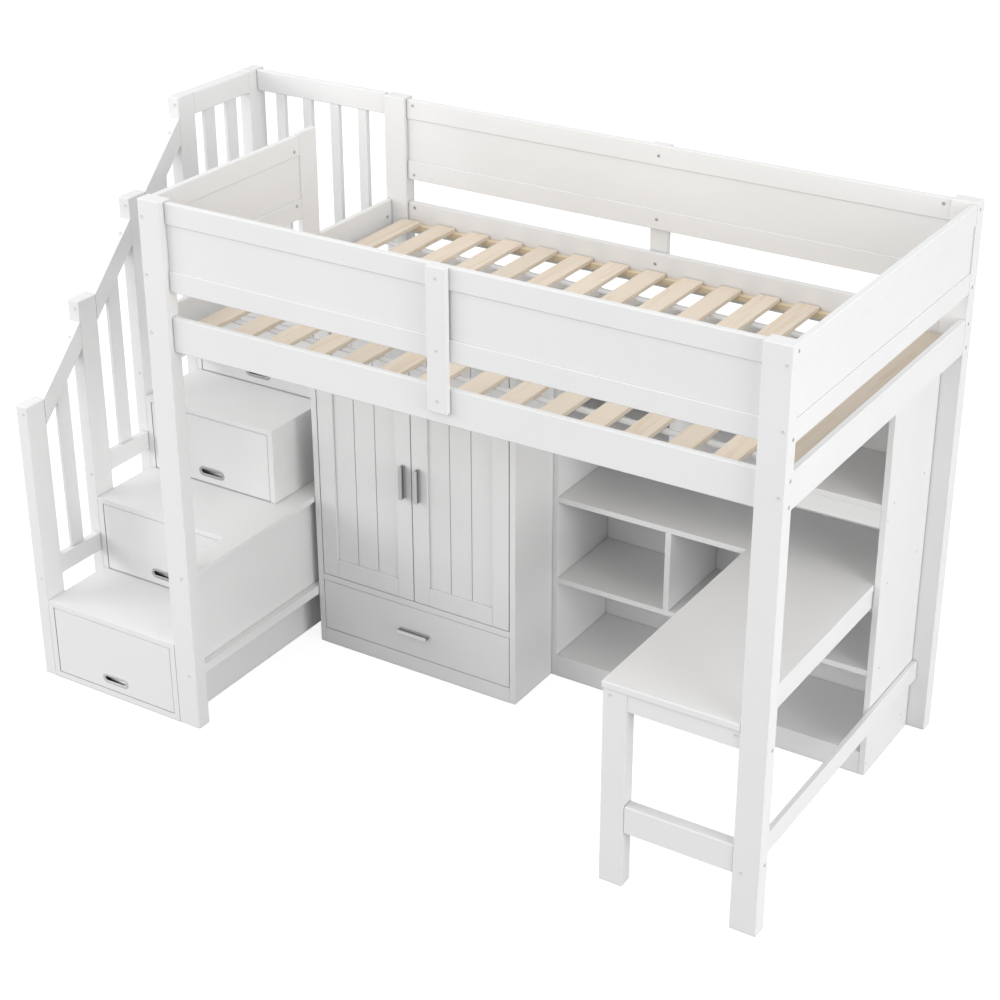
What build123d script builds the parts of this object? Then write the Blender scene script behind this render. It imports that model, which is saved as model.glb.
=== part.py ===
from build123d import *
import math
import os

# A loft bed over a desk, a bookcase and a wardrobe, with drawer steps at its left end.
# All sizes are in millimetres. While it is built, X runs right from the left face of the
# front left post, Y runs back from the front faces of the posts and Z runs up from the floor.

# Bed
BED_LENGTH = 2080
BED_WIDTH = 1290
BED_UNDER = 1323
POST_X = 83
POST_Y = 50
POST_OVER_GUARD = 5

# Rails, guards and their panels
RAIL_TALL = 110
GUARD_GAP = 80
GUARD_LOW_TALL = 66
PANEL_TALL = 143
GUARD_TOP_TALL = 66
RAIL_INSET = 19
RAIL_THICK = 20
END_INSET = 2
END_THICK = 20
PANEL_INSET = 4
PANEL_THICK = 12
PANEL_TONGUE = 6
ENTRY_WIDE = 406
STILE_WIDE = 89
STILE_OVER_GUARD = 5
MID_BOARD_WIDE = 64
MID_BOARD_LEFT_OF_CENTRE = 5
MID_BOARD_LAP = 72

# Slats
SLAT_COUNT = 15
SLAT_WIDE = 72
SLAT_THICK = 14
SLAT_MARGIN = 69.5
SLAT_END_GAP = 2
LEDGER_THICK = 18
LEDGER_TALL = 20
LEDGER_UP = 17
LEDGER_END_GAP = 2
STRAP_WIDE = 37
STRAP_THICK = 2
STRAP_IN = 240
STRAP_END_IN = 4

# Steps
STEP_COUNT = 4
STEP_GOING = 277
STEP_RISE = 268
FIRST_TREAD = 291
TREAD_THICK = 19
STAIR_WIDE = 542
STAIR_SIDE = 21
STAIR_BACK = 6
BASE_RAIL_TALL = 23
BASE_RAIL_THICK = 19

# Handrail along the steps
NEWEL_X = 46
NEWEL_Y = 82
NEWEL_OVER_POST = 6
HANDRAIL_WIDE = 62
HANDRAIL_DROP = 69
LEVEL_RAIL_DROP = 2
LEVEL_RAIL_TALL = 72
LOW_RAIL_UP = 68
LOW_RAIL_TALL = 64
LOW_RAIL_THICK = 25
LOW_RAIL_IN = 2
SIDE_BALUSTER_WIDE = 54
SIDE_BALUSTER_THICK = 12.5
SIDE_BALUSTER_IN = 13
LEVEL_BALUSTERS = 2
REAR_RAIL_IN = 22
REAR_RAIL_THICK = 20
REAR_BALUSTERS = 4
REAR_BALUSTER_WIDE = 36
REAR_BALUSTER_THICK = 18

# Block between the steps and the wardrobe
BLOCK_WIDE = 78
BLOCK_PANEL_IN = 25
BLOCK_PANEL_THICK = 20
LEDGE_LOW = 184
LEDGE_THICK = 32

# Drawers
FRONT_GAP = 2
FRONT_SET_BACK = 1
FRONT_THICK = 18
BOX_SIDE = 15
BOX_BOTTOM = 9
BOX_UP = 12
BOX_TALL = 150
STEP_BOX_REAR_GAP = 24
WARDROBE_BOX_REAR_GAP = 68
RUNNER_THICK = 9
RUNNER_TALL = 18
RUNNER_UP = 60
RUNNER_STOP = 4
GROOVE_DEEP = 8
GROOVE_CLEAR = 0.3

# Oval pulls on the step drawers
PULL_LONG = 109
PULL_TALL = 36
PULL_PROUD = 1.5
PULL_RIM = 8
PULL_WALL = 2.5
PULL_DEEP = 14
PULL_FLOOR = 2
PULL_UP = 42
PULL_CLEAR = 0.2

# Bar handles on the wardrobe
BAR_LONG = 118
BAR_WIDE = 12
BAR_BASE_DEEP = 7
BAR_WEB_WIDE = 7
BAR_WEB_DEEP = 12
BAR_LIP_DEEP = 5
DOOR_BAR_BELOW = 51
DOOR_BAR_IN = 28

# Wardrobe
CABINET_UNDER_RAIL = 41
CABINET_POST_GAP = 2
CABINET_BACK = 6
CABINET_TOP = 20
WARDROBE_BLOCK_GAP = 2
WARDROBE_WIDE = 795
WARDROBE_DEEP = 572
WARDROBE_SIDE = 22
WARDROBE_FLOOR = 23
WARDROBE_DRAWER_SPACE = 192
PLINTH_TALL = 57
PLINTH_THICK = 20
DOOR_THICK = 20
DOOR_GAP = 2
DOOR_HINGE_GAP = 3
DOOR_MEETING_GAP = 3
DOOR_STILE = 62
DOOR_RAIL = 66
DOOR_PANEL_IN = 7
DOOR_PANEL_THICK = 8
DOOR_PANEL_TONGUE = 8
DOOR_BOARDS = 3
DOOR_GROOVE_WIDE = 3
DOOR_GROOVE_DEEP = 2
PIVOT_IN_DOOR = 5
PIVOT_BEHIND_FACE = 6
PIVOT_RADIUS = 3
PIVOT_CLEAR = 0.05
PIVOT_LONG = 11
PIVOT_END_GAP = 2
PIVOT_FLANGE_RADIUS = 7
PIVOT_FLANGE = 1

# Bookcase
BOOKCASE_DEEP = 340
BOOKCASE_END_IN = 62
BOOKCASE_SIDE = 20
SHELF_THICK = 19
BASE_SHELF = 80
FIRST_SHELF = 378
THIRD_SHELF = 949
APRON_TALL = 60
FRONT_BOARD_THICK = 19
DIVIDER_IN = 415
DIVIDER_THICK = 20

# Desk
DESK_HIGH = 678
DESK_THICK = 23
DESK_WIDE = 428
DESK_BOOKCASE_GAP = 0.5
DESK_LEG_X = 76
DESK_LEG_Y = 48
DESK_LEG_IN_X = 4
DESK_LEG_IN_Y = 2
DESK_APRON_TALL = 56
DESK_APRON_THICK = 19
DESK_APRON_IN = 5
DESK_APRON_SIDE_IN = 2
STRETCHER_LOW = 189
STRETCHER_TALL = 92
STRETCHER_THICK = 38
STRETCHER_IN = 4
END_RAIL_LOW = 182
END_RAIL_TALL = 66
END_RAIL_THICK = 18

# Bolt and screw heads
HEAD_SIDES = 12
BOLT_RADIUS = 6
BOLT_PROUD = 1
BOLT_IN_POST = 15
BOLT_FROM_POST = 26
BOLT_BACK = 32
BOLT_IN_EDGE = 18
BOLT_OVER_EDGE = 9
BOLT_IN_NEWEL = 30
BOLT_UNDER_NEWEL_TOP = 26
BOLT_IN_LOW_RAIL = 13
BOLT_IN_RAIL_END = 28
BOLT_IN_DESK_LEG = 24
BOLT_UNDER_DESK = 17
SCREW_RADIUS = 3.5
SCREW_IN = 50

# Bevels of the edges that hands and feet meet
EDGE = 2
FINE_EDGE = 1

# Heights that follow from the sizes above
RAIL_HIGH = BED_UNDER + RAIL_TALL
GUARD_LOW = RAIL_HIGH + GUARD_GAP
PANEL_LOW = GUARD_LOW + GUARD_LOW_TALL
PANEL_HIGH = PANEL_LOW + PANEL_TALL
GUARD_HIGH = PANEL_HIGH + GUARD_TOP_TALL
POST_HIGH = GUARD_HIGH + POST_OVER_GUARD
SLAT_LOW = BED_UNDER + LEDGER_UP + LEDGER_TALL
CABINET_HIGH = BED_UNDER - CABINET_UNDER_RAIL
CABINET_UNDER_TOP = CABINET_HIGH - CABINET_TOP
WARDROBE_FLOOR_LOW = PLINTH_TALL + WARDROBE_DRAWER_SPACE
WARDROBE_FLOOR_HIGH = WARDROBE_FLOOR_LOW + WARDROBE_FLOOR
DOOR_LOW = WARDROBE_FLOOR_HIGH + DOOR_GAP
DOOR_HIGH = CABINET_UNDER_TOP - DOOR_GAP
SHELF_TOPS = [FIRST_SHELF, DESK_HIGH, THIRD_SHELF]

# Places along X
POST_IN_X = BED_LENGTH - POST_X
STAIR_LEFT = -STAIR_WIDE
STAIR_INSIDE = (STAIR_LEFT + STAIR_SIDE, -STAIR_SIDE)
NEWEL_SPAN = (STAIR_LEFT - NEWEL_X, STAIR_LEFT)
WARDROBE_LEFT = BLOCK_WIDE + WARDROBE_BLOCK_GAP
WARDROBE_RIGHT = WARDROBE_LEFT + WARDROBE_WIDE
WARDROBE_INSIDE = (WARDROBE_LEFT + WARDROBE_SIDE, WARDROBE_RIGHT - WARDROBE_SIDE)
WARDROBE_MIDDLE = (WARDROBE_LEFT + WARDROBE_RIGHT) / 2
BOOKCASE_RIGHT = BED_LENGTH - BOOKCASE_END_IN
BOOKCASE_INSIDE = (WARDROBE_RIGHT + BOOKCASE_SIDE, BOOKCASE_RIGHT - BOOKCASE_SIDE)
X_MIDDLE = (NEWEL_SPAN[0] + BED_LENGTH + BOLT_PROUD) / 2

# Places along Y
POST_IN_Y = BED_WIDTH - POST_Y
RAIL_BACK = RAIL_INSET + RAIL_THICK
STILE_REAR = POST_IN_Y - ENTRY_WIDE
STILE_FRONT = STILE_REAR - STILE_WIDE
STAIR_REAR = BED_WIDTH - STAIR_BACK
CABINET_REAR = POST_IN_Y - CABINET_POST_GAP
SHELF_REAR = CABINET_REAR - CABINET_BACK
WARDROBE_FRONT = CABINET_REAR - WARDROBE_DEEP
BOOKCASE_FRONT = CABINET_REAR - BOOKCASE_DEEP
Y_MIDDLE = (BED_WIDTH - BOLT_PROUD) / 2


def board(x, y, z, edge=0):
    """A straight board from its low and high X, Y and Z, with its edges bevelled."""
    solid = Box(x[1] - x[0], y[1] - y[0], z[1] - z[0])
    if edge:
        solid = chamfer(solid.edges(), edge)
    return Pos((x[0] + x[1]) / 2, (y[0] + y[1]) / 2, (z[0] + z[1]) / 2) * solid


def outline_board(points, x):
    """A board cut to an outline of Y and Z points, from its low to its high X."""
    face = make_face(Polyline(*[(x[0], y, z) for y, z in points], close=True))
    return extrude(face, amount=x[1] - x[0], dir=(1, 0, 0))


def slot_block(x, y, z, long, tall, deep):
    """A block with round ends that runs back from Y by its depth."""
    return Pos(x, y, z) * extrude(Plane.XZ * SlotOverall(long, tall), amount=-deep)


def upright_pin(x, y, z, radius):
    return Pos(x, y, (z[0] + z[1]) / 2) * Cylinder(radius, z[1] - z[0])


def head(radius):
    """A flat head, with so many small sides that it looks round."""
    return extrude(RegularPolygon(radius, HEAD_SIDES), amount=BOLT_PROUD)


def front_head(x, y, z):
    """A bolt head on a face that looks to the front."""
    return Pos(x, y, z) * Rot(90, 0, 0) * head(BOLT_RADIUS)


def right_head(x, y, z, radius=BOLT_RADIUS):
    """A bolt or screw head on a face that looks to the right."""
    return Pos(x, y, z) * Rot(0, 90, 0) * head(radius)


def span(start, size):
    return (start, start + size)


def centred(at, size):
    return (at - size / 2, at + size / 2)


def flip_x(x):
    """The same span measured in from the right of the bed."""
    return (BED_LENGTH - x[1], BED_LENGTH - x[0])


def flip_y(y):
    """The same span measured in from the rear of the bed."""
    return (BED_WIDTH - y[1], BED_WIDTH - y[0])


def middle(pair):
    return (pair[0] + pair[1]) / 2


def save(name, solids):
    """Moves the solids to the part's frame and writes them as one sub-part."""
    moved = [Pos(-X_MIDDLE, -Y_MIDDLE, 0) * solid for solid in solids]
    export_step(Compound(moved), "parts/" + name + ".step")


def make_posts():
    x = (0, POST_X)
    y = (0, POST_Y)
    z = (0, POST_HIGH)
    corners = [(x, y), (flip_x(x), y), (x, flip_y(y)), (flip_x(x), flip_y(y))]
    save("posts", [board(post_x, post_y, z, EDGE) for post_x, post_y in corners])


def make_rails():
    along = (POST_X, POST_IN_X)
    across = (POST_Y, POST_IN_Y)
    z = (BED_UNDER, RAIL_HIGH)
    y = span(RAIL_INSET, RAIL_THICK)
    x = span(END_INSET, END_THICK)
    save("side_rails", [board(along, y, z, EDGE), board(along, flip_y(y), z, EDGE)])
    save("end_rails", [board(x, across, z, EDGE), board(flip_x(x), across, z, EDGE)])


def guard(rail_x, rail_y, panel_x, panel_y):
    """The low and top rails of a guard, and the panel whose tongues sit in their grooves."""
    panel = board(panel_x, panel_y, (PANEL_LOW - PANEL_TONGUE, PANEL_HIGH + PANEL_TONGUE))
    low = board(rail_x, rail_y, (GUARD_LOW, PANEL_LOW), EDGE)
    high = board(rail_x, rail_y, (PANEL_HIGH, GUARD_HIGH), EDGE)
    return [low - panel, high - panel], panel


def make_guards():
    along = (POST_X, POST_IN_X)
    across = (POST_Y, POST_IN_Y)
    short = (POST_Y, STILE_FRONT)
    rail_y = span(RAIL_INSET, RAIL_THICK)
    panel_y = span(RAIL_INSET + PANEL_INSET, PANEL_THICK)
    rail_x = span(END_INSET, END_THICK)
    panel_x = span(END_INSET + PANEL_INSET, PANEL_THICK)
    front, front_panel = guard(along, rail_y, along, panel_y)
    rear, rear_panel = guard(along, flip_y(rail_y), along, flip_y(panel_y))
    right, right_panel = guard(flip_x(rail_x), across, flip_x(panel_x), across)
    left, left_panel = guard(rail_x, short, panel_x, short)
    stile_z = (RAIL_HIGH, GUARD_HIGH + STILE_OVER_GUARD)
    left.append(board(rail_x, (STILE_FRONT, STILE_REAR), stile_z, EDGE))
    save("guard_front_rails", front)
    save("guard_rear_rails", rear)
    save("guard_right_rails", right)
    save("guard_left_rails", left)
    save("guard_panels", [front_panel, rear_panel, right_panel, left_panel])


def mid_board_x():
    return centred(BED_LENGTH / 2 - MID_BOARD_LEFT_OF_CENTRE, MID_BOARD_WIDE)


def make_mid_boards():
    """The upright boards that tie each long guard to its rail about halfway along."""
    y = (0, RAIL_INSET)
    z = (RAIL_HIGH - MID_BOARD_LAP, GUARD_HIGH)
    front = board(mid_board_x(), y, z, EDGE)
    save("mid_boards", [front, board(mid_board_x(), flip_y(y), z, EDGE)])


def slat_y(x):
    """A slat runs from rail to rail, or from post to post where it is beside one."""
    beside_post = x[0] < POST_X or x[1] > POST_IN_X
    inset = (POST_Y if beside_post else RAIL_BACK) + SLAT_END_GAP
    return (inset, BED_WIDTH - inset)


def make_slats():
    left = SLAT_MARGIN
    right = BED_LENGTH - left
    pitch = (right - left - SLAT_WIDE) / (SLAT_COUNT - 1)
    z = span(SLAT_LOW, SLAT_THICK)
    slats = []
    for i in range(SLAT_COUNT):
        x = span(left + i * pitch, SLAT_WIDE)
        slats.append(board(x, slat_y(x), z, FINE_EDGE))
    save("slats", slats)

    x = (POST_X + LEDGER_END_GAP, POST_IN_X - LEDGER_END_GAP)
    y = span(RAIL_BACK, LEDGER_THICK)
    z = (SLAT_LOW - LEDGER_TALL, SLAT_LOW)
    save("slat_ledgers", [board(x, y, z), board(x, flip_y(y), z)])

    x = (left + STRAP_END_IN, right - STRAP_END_IN)
    y = span(STRAP_IN - STRAP_WIDE / 2, STRAP_WIDE)
    z = (SLAT_LOW - STRAP_THICK, SLAT_LOW)
    save("slat_straps", [board(x, y, z), board(x, flip_y(y), z)])


def step_front(step):
    return step * STEP_GOING


def step_top(step):
    return FIRST_TREAD + step * STEP_RISE


def step_floor(step):
    """The level that the cabinet of a step stands on."""
    return 0 if step == 0 else step_top(step - 1)


def newel_top(step):
    """The newels rise with the steps, the last one to just over the bed posts."""
    return POST_HIGH + NEWEL_OVER_POST - (STEP_COUNT - 1 - step) * STEP_RISE


def make_stair_carcass():
    sides = []
    treads = []
    for step in range(STEP_COUNT):
        y = (step_front(step), STAIR_REAR)
        under = step_top(step) - TREAD_THICK
        z = (step_floor(step), under)
        sides.append(board((STAIR_LEFT, STAIR_INSIDE[0]), y, z))
        sides.append(board((STAIR_INSIDE[1], 0), y, z))
        treads.append(board((STAIR_LEFT, 0), y, (under, step_top(step))))
    save("stair_sides", sides)
    save("stair_treads", treads)
    rail_y = (0, BASE_RAIL_THICK)
    save("stair_base_rail", [board(STAIR_INSIDE, rail_y, (0, BASE_RAIL_TALL))])
    back_z = (0, step_top(STEP_COUNT - 1))
    save("stair_back", [board((STAIR_LEFT, 0), (STAIR_REAR, BED_WIDTH), back_z)])


def make_side_block():
    """The ledge, panel and top that fill in between the steps and the wardrobe."""
    x = (0, BLOCK_WIDE)
    y = (POST_Y, CABINET_REAR)
    top = step_top(1)
    panel_right = BLOCK_WIDE - BLOCK_PANEL_IN
    panel_z = (LEDGE_LOW + LEDGE_THICK, top - TREAD_THICK)
    save("side_block", [
        board(x, y, span(LEDGE_LOW, LEDGE_THICK)),
        board((panel_right - BLOCK_PANEL_THICK, panel_right), y, panel_z),
        board(x, y, (panel_z[1], top)),
    ])


def sloping_rail_outline(step):
    """Y and Z of a handrail from one newel's top rear corner to the next newel's front."""
    y = (step_front(step) + NEWEL_Y, step_front(step + 1))
    low = newel_top(step)
    high = newel_top(step + 1) - HANDRAIL_DROP
    tall = HANDRAIL_WIDE / math.cos(math.atan2(high - low, y[1] - y[0]))
    return [(y[0], low - tall), (y[1], high - tall), (y[1], high), (y[0], low)]


def side_baluster(front, low, high, rise):
    """A flat upright of the left handrail, its top cut to the slope of the rail over it."""
    right = STAIR_LEFT - SIDE_BALUSTER_IN
    rear = front + SIDE_BALUSTER_WIDE
    high_rear = high + rise * SIDE_BALUSTER_WIDE
    points = [(front, low), (rear, low), (rear, high_rear), (front, high)]
    return outline_board(points, (right - SIDE_BALUSTER_THICK, right))


def low_rail(x, y, step):
    """The rail between two newels, at ankle height over a tread."""
    return board(x, y, span(step_top(step) + LOW_RAIL_UP, LOW_RAIL_TALL), FINE_EDGE)


def low_rail_top(step):
    return step_top(step) + LOW_RAIL_UP + LOW_RAIL_TALL


def side_low_rail_x():
    right = STAIR_LEFT - LOW_RAIL_IN
    return (right - LOW_RAIL_THICK, right)


def sloping_bay(step):
    """The handrail, low rail and upright between two newels."""
    outline = sloping_rail_outline(step)
    bay = (outline[0][0], outline[1][0])
    rise = (outline[1][1] - outline[0][1]) / (bay[1] - bay[0])
    front = middle(bay) - SIDE_BALUSTER_WIDE / 2
    high = outline[0][1] + rise * (front - bay[0])
    upright = side_baluster(front, low_rail_top(step), high, rise)
    return outline_board(outline, NEWEL_SPAN), low_rail(side_low_rail_x(), bay, step), upright


def level_rail_z():
    top = newel_top(STEP_COUNT - 1) - LEVEL_RAIL_DROP
    return (top - LEVEL_RAIL_TALL, top)


def level_bay():
    """The rails and uprights from the last newel back to the corner post."""
    last = STEP_COUNT - 1
    bay = (step_front(last) + NEWEL_Y, BED_WIDTH - NEWEL_Y)
    space = (bay[1] - bay[0] - LEVEL_BALUSTERS * SIDE_BALUSTER_WIDE) / (LEVEL_BALUSTERS + 1)
    uprights = []
    for i in range(LEVEL_BALUSTERS):
        front = bay[0] + space + i * (space + SIDE_BALUSTER_WIDE)
        uprights.append(side_baluster(front, low_rail_top(last), level_rail_z()[0], 0))
    rail = board(NEWEL_SPAN, bay, level_rail_z(), EDGE)
    return rail, low_rail(side_low_rail_x(), bay, last), uprights


def rear_bay():
    """The rails and uprights from the corner post to the rear left bed post."""
    x = (STAIR_LEFT, 0)
    rear = BED_WIDTH - REAR_RAIL_IN
    y = (rear - REAR_RAIL_THICK, rear)
    upright_y = span(y[0], REAR_BALUSTER_THICK)
    space = (STAIR_WIDE - REAR_BALUSTERS * REAR_BALUSTER_WIDE) / (REAR_BALUSTERS + 1)
    z = (low_rail_top(STEP_COUNT - 1), level_rail_z()[0])
    uprights = []
    for i in range(REAR_BALUSTERS):
        left = STAIR_LEFT + space + i * (space + REAR_BALUSTER_WIDE)
        uprights.append(board(span(left, REAR_BALUSTER_WIDE), upright_y, z, FINE_EDGE))
    return board(x, y, level_rail_z(), EDGE), low_rail(x, y, STEP_COUNT - 1), uprights


def make_handrail():
    last = STEP_COUNT - 1
    newels = []
    for step in range(STEP_COUNT):
        newels.append(board(NEWEL_SPAN, span(step_front(step), NEWEL_Y), (0, newel_top(step)), EDGE))
    newels.append(board(NEWEL_SPAN, flip_y((0, NEWEL_Y)), (0, newel_top(last)), EDGE))
    save("stair_newels", newels)

    handrails = []
    low_rails = []
    uprights = []
    for step in range(last):
        rail, low, upright = sloping_bay(step)
        handrails.append(rail)
        low_rails.append(low)
        uprights.append(upright)
    for rail, low, some in (level_bay(), rear_bay()):
        handrails.append(rail)
        low_rails.append(low)
        uprights += some
    save("stair_handrails", handrails)
    save("stair_low_rails", low_rails)
    save("stair_balusters", uprights)


def drawer_box(x, front, low, rear):
    """Grooved sides, back and bottom of a drawer that is open at the top, behind its front."""
    y = (front, rear)
    z = span(low, BOX_TALL)
    groove_y = (front + RUNNER_STOP, rear)
    groove_z = (low + RUNNER_UP - GROOVE_CLEAR, low + RUNNER_UP + RUNNER_TALL + GROOVE_CLEAR)
    inside = (x[0] + BOX_SIDE, x[1] - BOX_SIDE)
    left = board((x[0], inside[0]), y, z)
    left -= board(span(x[0], GROOVE_DEEP), groove_y, groove_z)
    right = board((inside[1], x[1]), y, z)
    right -= board((x[1] - GROOVE_DEEP, x[1]), groove_y, groove_z)
    back = board(inside, (rear - BOX_SIDE, rear), z)
    bottom = board(inside, (front, rear - BOX_SIDE), span(low, BOX_BOTTOM))
    return [left, right, back, bottom]


def drawer_runners(inside, front, low, rear):
    """The two strips on a cabinet's sides that a drawer's grooves run on."""
    y = (front + 2 * RUNNER_STOP, rear)
    z = span(low + RUNNER_UP, RUNNER_TALL)
    left = board(span(inside[0], RUNNER_THICK), y, z)
    right = board((inside[1] - RUNNER_THICK, inside[1]), y, z)
    return [left, right]


def pull_dish(x, y, z, grow, deep):
    """The part of a pull that is let into the drawer front, or the pocket for it."""
    long = PULL_LONG - 2 * PULL_RIM + 2 * grow
    tall = PULL_TALL - 2 * PULL_RIM + 2 * grow
    return slot_block(x, y, z, long, tall, deep)


def oval_pull(x, y, z):
    """A flush oval pull: a rim on the drawer front round a dish let into it."""
    rim = slot_block(x, y - PULL_PROUD, z, PULL_LONG, PULL_TALL, PULL_PROUD)
    dish = pull_dish(x, y, z, 0, PULL_DEEP)
    hollow_deep = PULL_PROUD + PULL_DEEP - PULL_FLOOR
    return rim + dish - pull_dish(x, y - PULL_PROUD, z, -PULL_WALL, hollow_deep)


def step_box_deep():
    """Depth of a step drawer's box, which is set by the last and shallowest step."""
    face = step_front(STEP_COUNT - 1) + FRONT_SET_BACK
    return STAIR_REAR - STEP_BOX_REAR_GAP - face - FRONT_THICK


def make_step_drawers():
    x = (STAIR_INSIDE[0] + FRONT_GAP, STAIR_INSIDE[1] - FRONT_GAP)
    runners = []
    for step in range(STEP_COUNT):
        floor = BASE_RAIL_TALL if step == 0 else step_floor(step)
        z = (floor + FRONT_GAP, step_top(step) - TREAD_THICK - FRONT_GAP)
        face = step_front(step) + FRONT_SET_BACK
        back = face + FRONT_THICK
        rear = back + step_box_deep()
        pull_at = (middle(x), face, z[0] + PULL_UP)
        front = board(x, (face, back), z, FINE_EDGE)
        front -= pull_dish(*pull_at, PULL_CLEAR, PULL_DEEP + PULL_CLEAR)
        name = "step_drawer_" + str(step + 1)
        save(name + "_front", [front])
        save(name + "_box", drawer_box(x, back, z[0] + BOX_UP, rear))
        save(name + "_pull", [oval_pull(*pull_at)])
        runners += drawer_runners(STAIR_INSIDE, back, z[0] + BOX_UP, rear)
    return runners


def make_wardrobe():
    y = (WARDROBE_FRONT, CABINET_REAR)
    deck_y = (WARDROBE_FRONT, SHELF_REAR)
    z = (0, CABINET_HIGH)
    save("wardrobe_sides", [
        board((WARDROBE_LEFT, WARDROBE_INSIDE[0]), y, z, FINE_EDGE),
        board((WARDROBE_INSIDE[1], WARDROBE_RIGHT), y, z, FINE_EDGE),
    ])
    save("wardrobe_decks", [
        board(WARDROBE_INSIDE, deck_y, (WARDROBE_FLOOR_LOW, WARDROBE_FLOOR_HIGH)),
        board(WARDROBE_INSIDE, deck_y, (CABINET_UNDER_TOP, CABINET_HIGH)),
    ])
    plinth_y = span(WARDROBE_FRONT, PLINTH_THICK)
    save("wardrobe_plinth", [board(WARDROBE_INSIDE, plinth_y, (0, PLINTH_TALL))])
    save("wardrobe_back", [board(WARDROBE_INSIDE, (SHELF_REAR, CABINET_REAR), z)])


def door_spans():
    """Low and high X of the left and the right door."""
    half_gap = DOOR_MEETING_GAP / 2
    left = (WARDROBE_INSIDE[0] + DOOR_HINGE_GAP, WARDROBE_MIDDLE - half_gap)
    right = (WARDROBE_MIDDLE + half_gap, WARDROBE_INSIDE[1] - DOOR_HINGE_GAP)
    return left, right


def pivot_x():
    """X of the left and the right door's pivot."""
    left, right = door_spans()
    return left[0] + PIVOT_IN_DOOR, right[1] - PIVOT_IN_DOOR


def pivot_pin(x, start, up):
    """A flanged pin that stands up from the wardrobe's floor or hangs from its top."""
    y = WARDROBE_FRONT + PIVOT_BEHIND_FACE
    flange = upright_pin(x, y, sorted((start, start + up * PIVOT_FLANGE)), PIVOT_FLANGE_RADIUS)
    return flange + upright_pin(x, y, sorted((start, start + up * PIVOT_LONG)), PIVOT_RADIUS)


def make_pivots():
    pins = []
    for x in pivot_x():
        pins.append(pivot_pin(x, WARDROBE_FLOOR_HIGH, 1))
        pins.append(pivot_pin(x, CABINET_UNDER_TOP, -1))
    save("door_pivots", pins)


def pivot_holes(x):
    """The holes in a door's ends that its two pivot pins turn in."""
    y = WARDROBE_FRONT + PIVOT_BEHIND_FACE
    deep = PIVOT_LONG - DOOR_GAP + PIVOT_END_GAP
    radius = PIVOT_RADIUS + PIVOT_CLEAR
    low = upright_pin(x, y, span(DOOR_LOW, deep), radius)
    high = upright_pin(x, y, (DOOR_HIGH - deep, DOOR_HIGH), radius)
    return low + high


def door_panel(x):
    """The panel that sits in the frame's grooves, scored to look like boards side by side."""
    inner = (x[0] + DOOR_STILE, x[1] - DOOR_STILE)
    z = (DOOR_LOW + DOOR_RAIL, DOOR_HIGH - DOOR_RAIL)
    y = span(WARDROBE_FRONT + DOOR_PANEL_IN, DOOR_PANEL_THICK)
    tongue = DOOR_PANEL_TONGUE
    panel_x = (inner[0] - tongue, inner[1] + tongue)
    whole = board(panel_x, y, (z[0] - tongue, z[1] + tongue))
    scored = whole
    for i in range(1, DOOR_BOARDS):
        left = inner[0] + (inner[1] - inner[0]) * i / DOOR_BOARDS - DOOR_GROOVE_WIDE / 2
        scored -= board(span(left, DOOR_GROOVE_WIDE), span(y[0], DOOR_GROOVE_DEEP), z)
    return whole, scored


def door_frame(x, pivot, panel):
    """Two stiles and two rails, grooved for the panel and bored for the pivot pins."""
    y = span(WARDROBE_FRONT, DOOR_THICK)
    inner = (x[0] + DOOR_STILE, x[1] - DOOR_STILE)
    whole = (DOOR_LOW, DOOR_HIGH)
    pieces = [
        board((x[0], inner[0]), y, whole, FINE_EDGE),
        board((inner[1], x[1]), y, whole, FINE_EDGE),
        board(inner, y, span(DOOR_LOW, DOOR_RAIL), FINE_EDGE),
        board(inner, y, (DOOR_HIGH - DOOR_RAIL, DOOR_HIGH), FINE_EDGE),
    ]
    pieces = [piece - panel for piece in pieces]
    hinge_stile = 0 if pivot < middle(x) else 1
    pieces[hinge_stile] -= pivot_holes(pivot)
    return pieces


def bar_handle(x, z, upright):
    """A straight bar on the wardrobe's front, either upright or level.

    The web between its base and its lip is narrower than both, so fingers can grip the lip.
    """
    layers = ((BAR_BASE_DEEP, BAR_WIDE), (BAR_WEB_DEEP, BAR_WEB_WIDE), (BAR_LIP_DEEP, BAR_WIDE))
    pieces = []
    rear = WARDROBE_FRONT
    for deep, wide in layers:
        size = (wide, BAR_LONG) if upright else (BAR_LONG, wide)
        pieces.append(board(centred(x, size[0]), (rear - deep, rear), centred(z, size[1])))
        rear -= deep
    return pieces


def make_doors():
    left, right = door_spans()
    bar_z = (DOOR_LOW + DOOR_HIGH) / 2 - DOOR_BAR_BELOW
    bar_x = {"left": left[1] - DOOR_BAR_IN, "right": right[0] + DOOR_BAR_IN}
    for name, x, pivot in zip(("left", "right"), (left, right), pivot_x()):
        whole, scored = door_panel(x)
        save("door_" + name + "_frame", door_frame(x, pivot, whole))
        save("door_" + name + "_panel", [scored])
        save("door_" + name + "_handle", bar_handle(bar_x[name], bar_z, True))


def make_wardrobe_drawer():
    x = (WARDROBE_INSIDE[0] + FRONT_GAP, WARDROBE_INSIDE[1] - FRONT_GAP)
    z = (PLINTH_TALL + FRONT_GAP, WARDROBE_FLOOR_LOW - FRONT_GAP)
    back = WARDROBE_FRONT + FRONT_THICK
    low = z[0] + BOX_UP
    rear = SHELF_REAR - WARDROBE_BOX_REAR_GAP
    save("wardrobe_drawer_front", [board(x, (WARDROBE_FRONT, back), z, FINE_EDGE)])
    save("wardrobe_drawer_box", drawer_box(x, back, low, rear))
    handle = bar_handle(WARDROBE_MIDDLE, middle(z), False)
    save("wardrobe_drawer_handle", handle)
    return drawer_runners(WARDROBE_INSIDE, back, low, rear)


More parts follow.
